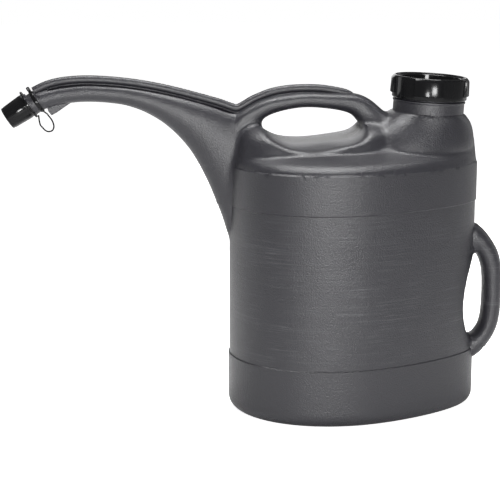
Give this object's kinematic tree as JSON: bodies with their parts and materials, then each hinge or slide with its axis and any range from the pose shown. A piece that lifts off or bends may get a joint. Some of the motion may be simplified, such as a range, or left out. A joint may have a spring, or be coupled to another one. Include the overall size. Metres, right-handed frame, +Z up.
{
  "type": "heating oil can",
  "caption": "Blow-moulded can with a long curved spout, vent tube, top grip, rear grip, screw filler cap and tethered spout cap.",
  "frame": {"origin": "centre of the base, at the middle of the body's length", "axes": "+X towards the rear grip, with the spout towards -X; +Y across the can; +Z up"},
  "size_m": [0.5717, 0.2054, 0.388],
  "materials": {
    "can_plastic": "dark grey blow-moulded polyethylene, faint grain and fine scratches",
    "cap_plastic": "glossy black moulded plastic",
    "seal": "soft grey sealing foam",
    "strap": "soft glossy black plastic"
  },
  "bodies": {
    "can": {"can_body": "can_plastic", "spout_strap": "strap"},
    "seal": {"cap_gasket": "seal"},
    "cap": {"filler_cap": "cap_plastic"},
    "plug": {"spout_cap": "cap_plastic"}
  },
  "joints": [
    {"name": "cap_rise", "type": "slide", "parent": "can", "child": "seal", "axis": [0.0698, 0, 0.9976], "range_m": [0, 0.024]},
    {"name": "cap_turn", "type": "hinge", "parent": "seal", "child": "cap", "pos_m": [0.085, 0, 0.34], "axis": [0.0698, 0, 0.9976], "range_deg": [0, 1440]},
    {"name": "spout_cap_pull", "type": "slide", "parent": "can", "child": "plug", "axis": [-0.8387, 0, -0.5446], "range_m": [0, 0.03]}
  ],
  "couplings": [
    {"joint": "cap_rise", "follows": "cap_turn", "m_per_rad": 0.00095493}
  ]
}
